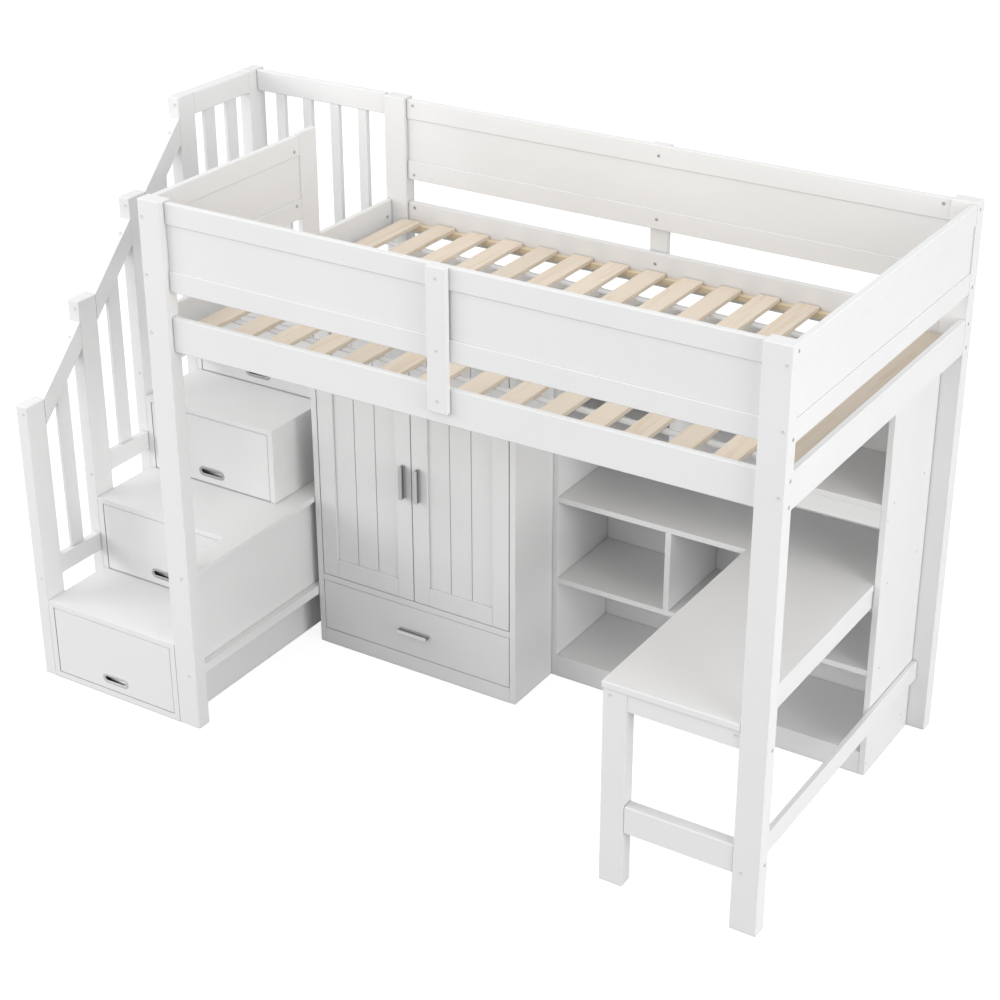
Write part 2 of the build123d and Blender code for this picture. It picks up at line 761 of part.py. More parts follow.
def make_bookcase():
    x = BOOKCASE_INSIDE
    y = (BOOKCASE_FRONT, CABINET_REAR)
    shelf_y = (BOOKCASE_FRONT, SHELF_REAR)
    front_y = span(BOOKCASE_FRONT, FRONT_BOARD_THICK)
    z = (0, CABINET_HIGH)
    save("bookcase_sides", [
        board((WARDROBE_RIGHT, x[0]), y, z, FINE_EDGE),
        board((x[1], BOOKCASE_RIGHT), y, z, FINE_EDGE),
    ])
    shelves = [board(x, shelf_y, (top - SHELF_THICK, top)) for top in SHELF_TOPS]
    shelves.append(board(x, (front_y[1], SHELF_REAR), (BASE_SHELF - SHELF_THICK, BASE_SHELF)))
    shelves.append(board(x, shelf_y, (CABINET_UNDER_TOP, CABINET_HIGH)))
    save("bookcase_shelves", shelves)
    divider_x = span(WARDROBE_RIGHT + DIVIDER_IN, DIVIDER_THICK)
    save("bookcase_dividers", [
        board(divider_x, shelf_y, (SHELF_TOPS[0], SHELF_TOPS[1] - SHELF_THICK)),
        board(divider_x, shelf_y, (SHELF_TOPS[2], CABINET_UNDER_TOP)),
    ])
    apron_high = THIRD_SHELF - SHELF_THICK
    save("bookcase_front_boards", [
        board(x, front_y, (0, BASE_SHELF)),
        board(x, front_y, (apron_high - APRON_TALL, apron_high), FINE_EDGE),
    ])
    save("bookcase_back", [board(x, (SHELF_REAR, CABINET_REAR), z)])


def desk_board(x, y, z):
    """The desk's top, bevelled on all its edges but the rear ones that meet the bookcase."""
    solid = board(x, y, z)
    front, along = solid.edges().group_by(Axis.Y)[:2]
    return chamfer(front + along, EDGE)


def make_desk():
    under = DESK_HIGH - DESK_THICK
    left = POST_IN_X - DESK_WIDE
    rear = BOOKCASE_FRONT - DESK_BOOKCASE_GAP
    leg_x = span(left + DESK_LEG_IN_X, DESK_LEG_X)
    rail_x = (leg_x[1], POST_IN_X)
    front_y = span(DESK_APRON_IN, DESK_APRON_THICK)
    side_right = POST_IN_X - DESK_APRON_SIDE_IN
    side_x = (side_right - DESK_APRON_THICK, side_right)
    apron_z = (under - DESK_APRON_TALL, under)
    save("desk_top", [desk_board((left, POST_IN_X), (0, rear), (under, DESK_HIGH))])
    save("desk_leg", [board(leg_x, span(DESK_LEG_IN_Y, DESK_LEG_Y), (0, under), EDGE)])
    save("desk_aprons", [
        board(rail_x, front_y, apron_z),
        board(side_x, (front_y[1], rear), apron_z),
    ])
    stretcher_z = span(STRETCHER_LOW, STRETCHER_TALL)
    save("desk_stretcher", [board(rail_x, span(STRETCHER_IN, STRETCHER_THICK), stretcher_z, EDGE)])


def make_low_end_rail():
    """The rail between the right posts, close to the floor."""
    x = span(BOOKCASE_RIGHT, END_RAIL_THICK)
    save("low_end_rail", [board(x, (POST_Y, POST_IN_Y), span(END_RAIL_LOW, END_RAIL_TALL), EDGE)])


def side_bolts():
    """Heads along the front and rear of the bed: posts, mid boards and rails."""
    centre = middle(mid_board_x())
    rear_face = BED_WIDTH - RAIL_BACK
    near_post = POST_X + BOLT_FROM_POST
    heads = []
    for z in (middle((BED_UNDER, RAIL_HIGH)), PANEL_LOW - BOLT_IN_EDGE, PANEL_HIGH + BOLT_IN_EDGE):
        for x in (BOLT_IN_POST, BED_LENGTH - BOLT_IN_POST):
            heads.append(front_head(x, 0, z))
    for z in (RAIL_HIGH - BOLT_IN_EDGE, GUARD_LOW + BOLT_IN_EDGE, GUARD_HIGH - BOLT_IN_EDGE):
        for x in (near_post, BED_LENGTH - near_post):
            heads.append(front_head(x, rear_face, z))
    lap_z = RAIL_HIGH - MID_BOARD_LAP / 2
    for z in (lap_z, middle((GUARD_LOW, PANEL_LOW)), middle((PANEL_HIGH, GUARD_HIGH))):
        heads.append(front_head(centre, 0, z))
        heads.append(front_head(centre, rear_face, z))
    return heads


def end_bolts():
    """Heads on the right posts' outer faces and on the left end's inner faces."""
    heads = []
    rail_z = (BED_UNDER + BOLT_IN_EDGE, RAIL_HIGH - BOLT_IN_EDGE)
    guard_z = (GUARD_LOW + BOLT_IN_EDGE, GUARD_HIGH - BOLT_IN_EDGE)
    for y in (BOLT_BACK, BED_WIDTH - BOLT_BACK):
        for z in rail_z + guard_z:
            heads.append(right_head(BED_LENGTH, y, z))
    low_z = END_RAIL_LOW + END_RAIL_TALL - BOLT_IN_EDGE
    desk_z = DESK_HIGH - DESK_THICK - DESK_APRON_TALL + BOLT_OVER_EDGE
    for z in (low_z, desk_z):
        heads.append(right_head(BED_LENGTH, BOLT_BACK, z))
    inner = END_INSET + END_THICK
    for z in (PANEL_LOW - BOLT_IN_EDGE, PANEL_HIGH + BOLT_IN_EDGE):
        heads.append(right_head(inner, STILE_FRONT - BOLT_IN_RAIL_END, z))
    heads.append(right_head(inner, POST_IN_Y - BOLT_IN_RAIL_END, middle(rail_z)))
    return heads


def low_bolts():
    """Heads on the newels, low on the front posts and on the front of the desk."""
    heads = []
    newel_x = NEWEL_SPAN[0] + BOLT_IN_NEWEL
    for step in range(STEP_COUNT):
        y = step_front(step)
        heads.append(front_head(newel_x, y, newel_top(step) - BOLT_UNDER_NEWEL_TOP))
        heads.append(front_head(newel_x, y, step_top(step) + LOW_RAIL_UP + BOLT_IN_LOW_RAIL))
    post_x = POST_X - BOLT_IN_RAIL_END
    for z in (LEDGE_LOW + BOLT_OVER_EDGE, step_top(1) - TREAD_THICK / 2):
        heads.append(front_head(post_x, 0, z))
    heads.append(front_head(POST_IN_X + BOLT_IN_RAIL_END, 0, STRETCHER_LOW + BOLT_IN_LOW_RAIL))
    desk_z = DESK_HIGH - DESK_THICK - BOLT_UNDER_DESK
    desk_left = POST_IN_X - DESK_WIDE + DESK_LEG_IN_X
    heads.append(front_head(desk_left + BOLT_IN_DESK_LEG, DESK_LEG_IN_Y, desk_z))
    heads.append(front_head(POST_IN_X - BOLT_IN_POST, DESK_APRON_IN, desk_z))
    return heads


def bookcase_screws():
    """Heads on the bookcase's right side, in line with its shelves and front boards."""
    heads = []
    y = (BOOKCASE_FRONT + SCREW_IN, SHELF_REAR - SCREW_IN)
    for top in [BASE_SHELF] + SHELF_TOPS:
        for place in y:
            heads.append(right_head(BOOKCASE_RIGHT, place, top - SHELF_THICK / 2, SCREW_RADIUS))
    front = BOOKCASE_FRONT + FRONT_BOARD_THICK / 2
    for z in (BASE_SHELF / 2, THIRD_SHELF - SHELF_THICK - APRON_TALL / 2):
        heads.append(right_head(BOOKCASE_RIGHT, front, z, SCREW_RADIUS))
    return heads


os.makedirs("parts", exist_ok=True)
make_posts()
make_rails()
make_guards()
make_mid_boards()
make_slats()
make_stair_carcass()
make_side_block()
make_handrail()
make_wardrobe()
make_pivots()
make_doors()
save("drawer_runners", make_step_drawers() + make_wardrobe_drawer())
make_bookcase()
make_desk()
make_low_end_rail()
save("bolt_heads", side_bolts() + end_bolts() + low_bolts())
save("screw_heads", bookcase_screws())
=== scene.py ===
import math

import bmesh
import bpy
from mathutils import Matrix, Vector


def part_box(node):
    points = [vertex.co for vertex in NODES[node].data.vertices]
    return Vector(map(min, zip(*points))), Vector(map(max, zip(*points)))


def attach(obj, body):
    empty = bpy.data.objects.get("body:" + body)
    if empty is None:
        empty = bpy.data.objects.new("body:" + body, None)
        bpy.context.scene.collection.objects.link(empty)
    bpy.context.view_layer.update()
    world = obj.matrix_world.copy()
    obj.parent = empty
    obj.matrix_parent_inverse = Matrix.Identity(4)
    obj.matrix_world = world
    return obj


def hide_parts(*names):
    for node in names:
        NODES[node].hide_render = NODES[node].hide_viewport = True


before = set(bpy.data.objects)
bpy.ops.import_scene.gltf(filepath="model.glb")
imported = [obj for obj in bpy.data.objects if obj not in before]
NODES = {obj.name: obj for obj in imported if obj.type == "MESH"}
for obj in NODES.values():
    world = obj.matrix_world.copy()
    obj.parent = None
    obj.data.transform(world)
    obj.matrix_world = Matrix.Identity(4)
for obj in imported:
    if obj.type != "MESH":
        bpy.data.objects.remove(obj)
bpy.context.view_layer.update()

# The looks of a loft bed with a desk: satin white paint over wood, bare pine slats, brushed nickel
# handles, plated bolts and grey webbing. All lengths are in metres, in the frame of the solids.

X, Y, Z = range(3)

# Camera
CAMERA_PLACE = (3.2360, -4.9912, 3.7757)
CAMERA_AZIMUTH = 31.976
CAMERA_ELEVATION = 26.766
CAMERA_LENS = 75.711
CAMERA_SENSOR = 36.0
CAMERA_SHIFT = (-0.0095, -0.0109)
CAMERA_REACH = 200.0

# Light
SKY_STRENGTH = 0.736
SKY_SEEN = 1.0
LAMPS = (
    # name, place, target, size, power
    ("top_softbox", (0.3, -1.5, 9.0), (0.0, 0.0, 0.8), 6.0, 105.0),
    ("left_softbox", (-10.0, 0.5, 5.0), (0.0, 0.0, 0.9), 6.0, 170.0),
    ("left_mid_softbox", (-8.5, -3.0, 3.0), (0.0, 0.0, 0.9), 4.0, 107.0),
    ("left_front_softbox", (-9.5, -7.0, 4.8), (-0.2, 0.0, 0.9), 7.0, 407.0),
    ("left_low_softbox", (-6.5, -9.0, 1.6), (0.0, 0.0, 0.8), 4.0, 117.0),
    ("front_softbox", (-2.5, -9.5, 5.5), (0.0, 0.0, 0.9), 5.0, 123.0),
    ("right_softbox", (9.0, -4.0, 4.6), (0.3, 0.0, 0.9), 5.0, 253.0),
    ("right_low_softbox", (9.0, -1.6, 1.4), (0.3, 0.0, 0.7), 3.5, 252.0),
)
FLOOR_SIZE = 60.0
FLOOR_GLOW = 0.86

# Colours, linear
WHITE = (1.0, 1.0, 1.0)
WHITE_PAINT = (0.775, 0.775, 0.775)
WHITE_SHADE = (0.755, 0.755, 0.755)
EDGE_PAINT = (0.73, 0.73, 0.725)
BOARD_WHITE = (0.80, 0.80, 0.79)
PINE_PALE = (0.775, 0.675, 0.555)
PINE_DARK = (0.695, 0.565, 0.425)
LEDGER_PALE = (0.80, 0.66, 0.47)
LEDGER_DARK = (0.70, 0.54, 0.35)
NICKEL = (0.60, 0.60, 0.60)
# Painted shade in the bar handles' groove
NICKEL_GROOVE_SHADE = (0.22, 0.22, 0.22)
PULL_NICKEL = (0.50, 0.50, 0.50)
# The pull's hollow: painted shade at its left end and painted light at its right
DISH_PAINTED_SHADE = (0.10, 0.10, 0.10)
DISH_PAINTED_LIGHT = (0.62, 0.62, 0.62)
STEEL = (0.62, 0.62, 0.63)
DARK_STEEL = (0.58, 0.58, 0.58)
# The dark insides of the sockets are painted shade
SOCKET_SHADE = (0.33, 0.33, 0.33)
SOCKET_SHADE_WORN = (0.41, 0.41, 0.41)
CAP_PAINT = (0.70, 0.70, 0.69)
# The caps' lacquer darkened as painted shade inside their sockets
CAP_SOCKET_SHADE = (0.63, 0.63, 0.62)
WEBBING = (0.80, 0.80, 0.80)
WEBBING_SHADE = (0.66, 0.66, 0.66)
STRIPE = (0.48, 0.48, 0.48)
STRIPE_SHADE = (0.36, 0.36, 0.36)
FLOOR_PAPER = (0.225, 0.225, 0.225)
FLOOR_FIBRE = (0.215, 0.215, 0.215)

# Shares of a colour: the last slat's, darkened as painted shade, that between a brush's strokes,
# and that of rubbed lacquer
LAST_BOARD_PAINTED_SHADE = 0.74
BETWEEN_STROKES = 0.82
RUBBED_CAP = 0.88

# Patterns: waves in a metre across and along a brush's strokes, how far apart in the wood two
# boards are cut, and the samples of the nodes that look round a point
BRUSH = (2600.0, 40.0)
BOARD_SHIFT = (3.0, 3.0, 3.0)
LOOK_ROUND_SAMPLES = 6

# Painted solids whose grain does not run along X
GRAIN_ALONG_Z = (
    "posts", "mid_boards", "stair_newels", "stair_balusters", "stair_sides", "stair_back",
    "desk_leg", "wardrobe_sides", "wardrobe_back", "bookcase_sides", "bookcase_dividers",
    "door_left_frame", "door_right_frame", "door_left_panel", "door_right_panel",
)
GRAIN_ALONG_Y = (
    "end_rails", "guard_right_rails", "guard_left_rails", "side_block", "stair_handrails",
    "desk_top", "low_end_rail",
)

# Corners of a solid's faces that are nearer than this are one
WELD = 1e-5

# Slats, the ledgers they lie on, and the webbing under them
SLAT_COUNT = 15
# One ledger is before the middle and one behind it, and neither gets the painted shade of the last
# slat
LEDGER_STEPS = (Y, 0.0, 2.0, 9)
WEB_LAID_UNDER = 0.0002
WEB_SAG = 0.0025
WEB_STEPS = 6
# Half of the webbing's outline: distance from its middle line, and height under its upper face
WEB_OUTLINE = (
    (0.0, 0.0), (0.0125, 0.0), (0.0155, 0.0), (0.0180, -0.0001), (0.0184, -0.0004),
    (0.0185, -0.0007), (0.0184, -0.0010), (0.0180, -0.0013), (0.0155, -0.0014), (0.0, -0.0014),
)
WEB_STRIPE = (0.0125, 0.0155)
WEB_SHARP_ANGLE = 40.0

# Bolt and screw heads: radius and height of each ring, from the face they sit on to the socket's
# floor
HEAD_POINTS = 24
HEAD_SHARP_ANGLE = 35.0
BOLT_RINGS = (
    (0.0060, 0.0), (0.0060, 0.0005), (0.0057, 0.00085), (0.0051, 0.0010), (0.0034, 0.0010),
)
BOLT_SOCKET = ((0.0030, 0.0009), (0.0028, 0.0002))
BOLT_SOCKET_SIDES = 6
SCREW_RINGS = ((0.0035, 0.0), (0.0034, 0.0004), (0.0029, 0.0008), (0.0024, 0.0010))
SCREW_SOCKET = ((0.0021, 0.00095), (0.0018, 0.0003))
SCREW_SOCKET_SIDES = 4
# Bolts that reach as far back as the face of the rear rails, less this, sit on those rails
REAR_BOLT_MARGIN = 0.01
# Bolts on the sloping handrails: in from the right edge, and from the upper end along Y
SLOPE_BOLT_IN = (0.013, 0.040)
SLOPE_COUNT = 3

# Oval pulls: distance in from the outer edge, and depth behind the rim's face, of each ring
STEP_DRAWERS = 4
PULL_ARC_POINTS = 20
PULL_RIM_RINGS = 8
PULL_RINGS = (
    (0.0, 0.0015), (0.0, 0.0008), (0.0004, 0.0003), (0.0012, 0.0), (0.0045, 0.0),
    (0.0086, 0.0), (0.0097, 0.0003), (0.0103, 0.0009), (0.0105, 0.0018), (0.0106, 0.0100),
    (0.0110, 0.0118), (0.0120, 0.0129), (0.0138, 0.0134), (0.0176, 0.0135),
)
PULL_SHARP_ANGLE = 50.0


def opaque(colour):
    return (*colour, 1.0)


def shade(colour, share):
    return tuple(share * value for value in colour)


def seen_directly(tree):
    """1 for rays that show a thing to the camera, straight or by a surface, and 0 for its light."""
    path = tree.nodes.new("ShaderNodeLightPath").outputs
    seen = path["Is Camera Ray"]
    for other in ("Is Glossy Ray", "Is Transmission Ray"):
        highest = tree.nodes.new("ShaderNodeMath")
        highest.operation = "MAXIMUM"
        tree.links.new(seen, highest.inputs[0])
        tree.links.new(path[other], highest.inputs[1])
        seen = highest.outputs["Value"]
    return seen


class Shader:
    """A material and short ways to add and link its nodes."""

    def __init__(self, name):
        self.material = bpy.data.materials.new(name)
        self.material.use_nodes = True
        self.tree = self.material.node_tree
        self.bsdf = self.tree.nodes["Principled BSDF"]
        self.place = self.add("ShaderNodeTexCoord").outputs["Object"]

    def add(self, kind, **settings):
        node = self.tree.nodes.new(kind)
        for key, value in settings.items():
            setattr(node, key, value)
        return node

    def link(self, output, socket):
        self.tree.links.new(output, socket)

    def coordinate(self, axis):
        """The object coordinate along one axis."""
        split = self.add("ShaderNodeSeparateXYZ")
        self.link(self.place, split.inputs["Vector"])
        return split.outputs[axis]

    def stretched(self, axis, across, lengthwise):
        """Object coordinates times one scale along an axis and another across it."""
        mapping = self.add("ShaderNodeMapping")
        scale = [lengthwise if i == axis else across for i in (X, Y, Z)]
        mapping.inputs["Scale"].default_value = scale
        self.link(self.place, mapping.inputs["Vector"])
        return mapping.outputs["Vector"]

    def noise(self, vector, scale, detail=4.0, rough=0.5, warp=0.0):
        node = self.add("ShaderNodeTexNoise")
        node.inputs["Scale"].default_value = scale
        node.inputs["Detail"].default_value = detail
        node.inputs["Roughness"].default_value = rough
        node.inputs["Distortion"].default_value = warp
        self.link(vector, node.inputs["Vector"])
        return node.outputs["Fac"]

    def grain(self, axis, across, lengthwise, detail=3.0, rough=0.5, warp=0.0):
        """Noise drawn out along one axis, with so many waves in a metre across and along it."""
        vector = self.stretched(axis, across, lengthwise)
        return self.noise(vector, 1.0, detail, rough, warp)

    def wave(self, direction, scale):
        node = self.add("ShaderNodeTexWave", bands_direction=direction)
        node.inputs["Scale"].default_value = scale
        self.link(self.place, node.inputs["Vector"])
        return node.outputs["Fac"]

    def ramp(self, factor, stops):
        """Colours along a factor, given as (position, colour) pairs."""
        node = self.add("ShaderNodeValToRGB")
        ramp = node.color_ramp
        while len(ramp.elements) < len(stops):
            ramp.elements.new(0.5)
        for element, (position, colour) in zip(ramp.elements, stops):
            element.position = position
            element.color = opaque(colour)
        self.link(factor, node.inputs["Fac"])
        return node.outputs["Color"]

    def span(self, factor, low, high, start=0.0, end=1.0):
        """A factor moved from start..end to low..high."""
        node = self.add("ShaderNodeMapRange")
        node.inputs["From Min"].default_value = start
        node.inputs["From Max"].default_value = end
        node.inputs["To Min"].default_value = low
        node.inputs["To Max"].default_value = high
        self.link(factor, node.inputs["Value"])
        return node.outputs["Result"]

    def maths(self, operation, first, second=0.0):
        node = self.add("ShaderNodeMath", operation=operation)
        for socket, value in zip(node.inputs, (first, second)):
            if isinstance(value, (int, float)):
                socket.default_value = value
            else:
                self.link(value, socket)
        return node.outputs["Value"]

    def blend(self, first, second, share):
        """The sum of two factors, of which the first has a share and the second the rest."""
        first_part = self.maths("MULTIPLY", first, share)
        second_part = self.maths("MULTIPLY", second, 1.0 - share)
        return self.maths("ADD", first_part, second_part)

    def mix(self, factor, first, second):
        """The first colour where a factor is 0, and the second where it is 1."""
        node = self.add("ShaderNodeMix", data_type="RGBA")
        colours = [socket for socket in node.inputs if socket.type == "RGBA"]
        self.link(factor, node.inputs["Factor"])
        for socket, value in zip(colours, (first, second)):
            if isinstance(value, tuple):
                socket.default_value = opaque(value)
            else:
                self.link(value, socket)
        return [socket for socket in node.outputs if socket.type == "RGBA"][0]

    def scaled(self, colour, factor):
        """A colour times a factor."""
        node = self.add("ShaderNodeVectorMath", operation="SCALE")
        self.link(colour, node.inputs[0])
        self.link(factor, node.inputs["Scale"])
        return node.outputs["Vector"]

    def rounded(self, radius):
        """Normals that turn smoothly over the edges, as if they were rounded."""
        node = self.add("ShaderNodeBevel", samples=LOOK_ROUND_SAMPLES)
        node.inputs["Radius"].default_value = radius
        return node.outputs["Normal"]

    def edges(self, rounded):
        """1 on edges and 0 on flat faces."""
        flat = self.add("ShaderNodeNewGeometry").outputs["True Normal"]
        dot = self.add("ShaderNodeVectorMath", operation="DOT_PRODUCT")
        self.link(rounded, dot.inputs[0])
        self.link(flat, dot.inputs[1])
        return self.span(dot.outputs["Value"], low=1.0, high=0.0, start=0.80, end=0.995)

    def crevices(self, distance):
        """1 in the open, and less near an inner corner."""
        node = self.add("ShaderNodeAmbientOcclusion", samples=LOOK_ROUND_SAMPLES)
        node.inputs["Distance"].default_value = distance
        return node.outputs["AO"]

    def bump(self, height, strength, distance, normal):
        node = self.add("ShaderNodeBump")
        node.inputs["Strength"].default_value = strength
        node.inputs["Distance"].default_value = distance
        self.link(height, node.inputs["Height"])
        self.link(normal, node.inputs["Normal"])
        self.link(node.outputs["Normal"], self.bsdf.inputs["Normal"])

    def set(self, **values):
        for key, value in values.items():
            self.bsdf.inputs[key.replace("_", " ")].default_value = value

    def colour(self, output):
        self.link(output, self.bsdf.inputs["Base Color"])

    def roughness(self, output):
        self.link(output, self.bsdf.inputs["Roughness"])


def white_paint(axis):
    """Satin white paint, with the wood's grain just showing through it along one axis, and painted
    shade near inner corners.
    """
    shader = Shader("white_paint_" + "xyz"[axis])
    grain = shader.grain(axis, across=220.0, lengthwise=9.0, detail=5.0, rough=0.6, warp=0.4)
    cloud = shader.noise(shader.place, scale=2.3, detail=3.0)
    roller = shader.noise(shader.place, scale=900.0, detail=2.0)
    sheen = shader.noise(shader.place, scale=14.0)
    rounded = shader.rounded(radius=0.0016)
    tone = shader.ramp(cloud, [(0.3, WHITE_SHADE), (0.7, WHITE_PAINT)])
    wear = shader.span(grain, low=0.25, high=0.7, start=0.35, end=0.65)
    worn = shader.maths("MULTIPLY", shader.edges(rounded), wear)
    # Painted shade: the colour darkens near inner corners
    painted_crevice_shade = shader.span(shader.crevices(distance=0.012), low=0.74, high=1.0, start=0.35, end=0.85)
    shader.colour(shader.scaled(shader.mix(worn, tone, EDGE_PAINT), painted_crevice_shade))
    shader.roughness(shader.span(sheen, low=0.36, high=0.50, start=0.3, end=0.7))
    height = shader.blend(grain, roller, share=0.75)
    shader.bump(height, strength=0.10, distance=0.0006, normal=rounded)
    shader.set(IOR=1.46)
    return shader.material


def white_board():
    """Matt white foil on the drawer boxes and runners, with a fine grained face."""
    shader = Shader("white_board")
    speck = shader.noise(shader.place, scale=420.0, detail=3.0)
    cloud = shader.noise(shader.place, scale=5.0)
    shader.colour(shader.ramp(cloud, [(0.35, EDGE_PAINT), (0.65, BOARD_WHITE)]))
    shader.roughness(shader.span(speck, low=0.55, high=0.68))
    shader.bump(speck, strength=0.12, distance=0.0004, normal=shader.rounded(radius=0.0008))
    return shader.material


def pine(name, axis, steps, pale, dark):
    """Bare planed pine whose growth rings run along one axis; each board has its own tone.

    The steps are the axis that the boards follow each other on, where the first begins, their
    pitch, and the number of the board from which on the colour is darkened as painted shade.
    """
    shader = Shader(name)
    step_axis, start, pitch, painted_shade_from = steps
    from_start = shader.maths("SUBTRACT", shader.coordinate(step_axis), start)
    index = shader.maths("FLOOR", shader.maths("DIVIDE", from_start, pitch))
    own = shader.add("ShaderNodeTexWhiteNoise", noise_dimensions="1D")
    shader.link(index, own.inputs["W"])
    shift = shader.add("ShaderNodeVectorMath", operation="MULTIPLY_ADD")
    shader.link(own.outputs["Color"], shift.inputs[0])
    shift.inputs[1].default_value = BOARD_SHIFT
    shader.link(shader.stretched(axis, across=1.0, lengthwise=0.06), shift.inputs[2])
    rings = shader.noise(shift.outputs["Vector"], scale=34.0, detail=6.0, rough=0.62, warp=1.1)
    fibre = shader.grain(axis, across=900.0, lengthwise=14.0)
    colour = shader.ramp(rings, [(0.30, pale), (0.52, pale), (0.70, dark)])
    board = shader.span(own.outputs["Value"], low=0.95, high=1.04)
    # Painted shade: the boards from that number on, here the last slat under the right guard, are
    # darker
    shaded_board = shader.maths("GREATER_THAN", index, painted_shade_from - 0.5)
    tone_and_painted_shade = shader.maths("MULTIPLY", board, shader.span(shaded_board, low=1.0, high=LAST_BOARD_PAINTED_SHADE))
    shader.colour(shader.scaled(colour, tone_and_painted_shade))
    shader.roughness(shader.span(fibre, low=0.52, high=0.66))
    height = shader.blend(rings, fibre, share=0.5)
    shader.bump(height, strength=0.22, distance=0.0006, normal=shader.rounded(radius=0.0022))
    return shader.material


def brushed(name, colour, axis, rough, groove=None):
    """Brushed metal with strokes along one axis, with painted shade between a groove's two places
    along Y.
    """
    shader = Shader(name)
    stroke = shader.grain(axis, *BRUSH)
    strokes_and_groove_shade = shader.ramp(stroke, [(0.3, shade(colour, BETWEEN_STROKES)), (0.7, colour)])
    # Painted shade in the groove of the bar handles, between their lip and base
    if groove:
        depth = shader.coordinate(Y)
        behind = shader.maths("GREATER_THAN", depth, groove[0])
        before = shader.maths("LESS_THAN", depth, groove[1])
        strokes_and_groove_shade = shader.mix(shader.maths("MULTIPLY", behind, before), strokes_and_groove_shade, NICKEL_GROOVE_SHADE)
    shader.colour(strokes_and_groove_shade)
    shader.roughness(shader.span(stroke, low=rough - 0.06, high=rough + 0.08, start=0.3, end=0.7))
    shader.bump(stroke, strength=0.10, distance=0.0002, normal=shader.rounded(radius=0.0012))
    shader.set(Metallic=1.0)
    return shader.material


def pull_dish(left, right):
    """The hollow of a pull, with painted shade at its left end and painted light towards its right.
    """
    shader = Shader("pull_dish")
    stroke = shader.grain(X, *BRUSH)
    # Painted shade and light across the hollow, dark at its left end and bright towards its right
    across = shader.span(shader.coordinate(X), low=0.0, high=1.0, start=left, end=right)
    uneven = shader.span(stroke, low=-0.08, high=0.08, start=0.3, end=0.7)
    tone = shader.maths("ADD", across, uneven)
    shader.colour(shader.ramp(tone, [(0.25, DISH_PAINTED_SHADE), (0.85, DISH_PAINTED_LIGHT)]))
    shader.roughness(shader.span(stroke, low=0.34, high=0.48, start=0.3, end=0.7))
    shader.bump(stroke, strength=0.10, distance=0.0002, normal=shader.rounded(radius=0.0006))
    shader.set(Metallic=1.0)
    return shader.material


def dark_socket():
    """Painted shade for the inside of a bolt's or a screw's socket, a little uneven."""
    shader = Shader("socket_steel")
    grime = shader.noise(shader.place, scale=900.0)
    shader.colour(shader.ramp(grime, [(0.3, SOCKET_SHADE), (0.7, SOCKET_SHADE_WORN)]))
    shader.roughness(shader.span(grime, low=0.45, high=0.6))
    shader.set(Metallic=0.6)
    return shader.material


def cap_paint(name, colour):
    """Pale lacquer on the bolts of the front faces and slopes, a little rubbed."""
    shader = Shader(name)
    rubbed = shader.noise(shader.place, scale=700.0)
    shader.colour(shader.ramp(rubbed, [(0.35, colour), (0.75, shade(colour, RUBBED_CAP))]))
    shader.roughness(shader.span(rubbed, low=0.34, high=0.5))
    shader.bump(rubbed, strength=0.1, distance=0.0002, normal=shader.rounded(radius=0.0004))
    return shader.material


def webbing_weave(name, light, dark):
    """Woven webbing, with ribs along and picks across."""
    shader = Shader(name)
    weave = shader.maths("MULTIPLY", shader.wave("X", scale=95.0), shader.wave("Y", scale=140.0))
    shader.colour(shader.mix(weave, dark, light))
    shader.roughness(shader.span(weave, low=0.7, high=0.9))
    shader.bump(weave, strength=0.5, distance=0.0006, normal=shader.rounded(radius=0.0004))
    shader.set(Sheen_Weight=0.15)
    return shader.material


def floor_paper():
    """A pale floor that looks white to the camera and still takes the shadow of the object."""
    shader = Shader("floor_paper")
    fibre = shader.noise(shader.place, scale=60.0)
    shader.colour(shader.ramp(fibre, [(0.3, FLOOR_FIBRE), (0.7, FLOOR_PAPER)]))
    shader.set(Roughness=0.9, Emission_Color=opaque(WHITE))
    glow = shader.maths("MULTIPLY", seen_directly(shader.tree), FLOOR_GLOW)
    shader.link(glow, shader.bsdf.inputs["Emission Strength"])
    return shader.material


def loose_solids(name, axis=X):
    """Lowest and highest corners of each separate solid of a node, in their order along an axis."""
    work = bmesh.new()
    work.from_mesh(NODES[name].data)
    bmesh.ops.remove_doubles(work, verts=work.verts, dist=WELD)
    unseen = set(work.verts)
    boxes = []
    while unseen:
        reached = [unseen.pop()]
        for vert in reached:
            for edge in vert.link_edges:
                other = edge.other_vert(vert)
                if other in unseen:
                    unseen.remove(other)
                    reached.append(other)
        low = Vector([min(vert.co[i] for vert in reached) for i in (X, Y, Z)])
        high = Vector([max(vert.co[i] for vert in reached) for i in (X, Y, Z)])
        boxes.append((low, high))
    work.free()
    return sorted(boxes, key=lambda pair: (pair[0][axis], *pair[0]))


def slat_steps():
    """The slats' axis, a place half a gap before the first, their pitch, and the last's number."""
    slats = loose_solids("slats")
    last = SLAT_COUNT - 1
    pitch = (slats[last][0].x - slats[0][0].x) / last
    gap = slats[1][0].x - slats[0][1].x
    return X, slats[0][0].x - gap / 2, pitch, last


def handle_groove():
    """Where the web of the bar handles begins and ends along Y, between their lip and base."""
    low, high = loose_solids("wardrobe_drawer_handle", Y)[1]
    return low.y, high.y


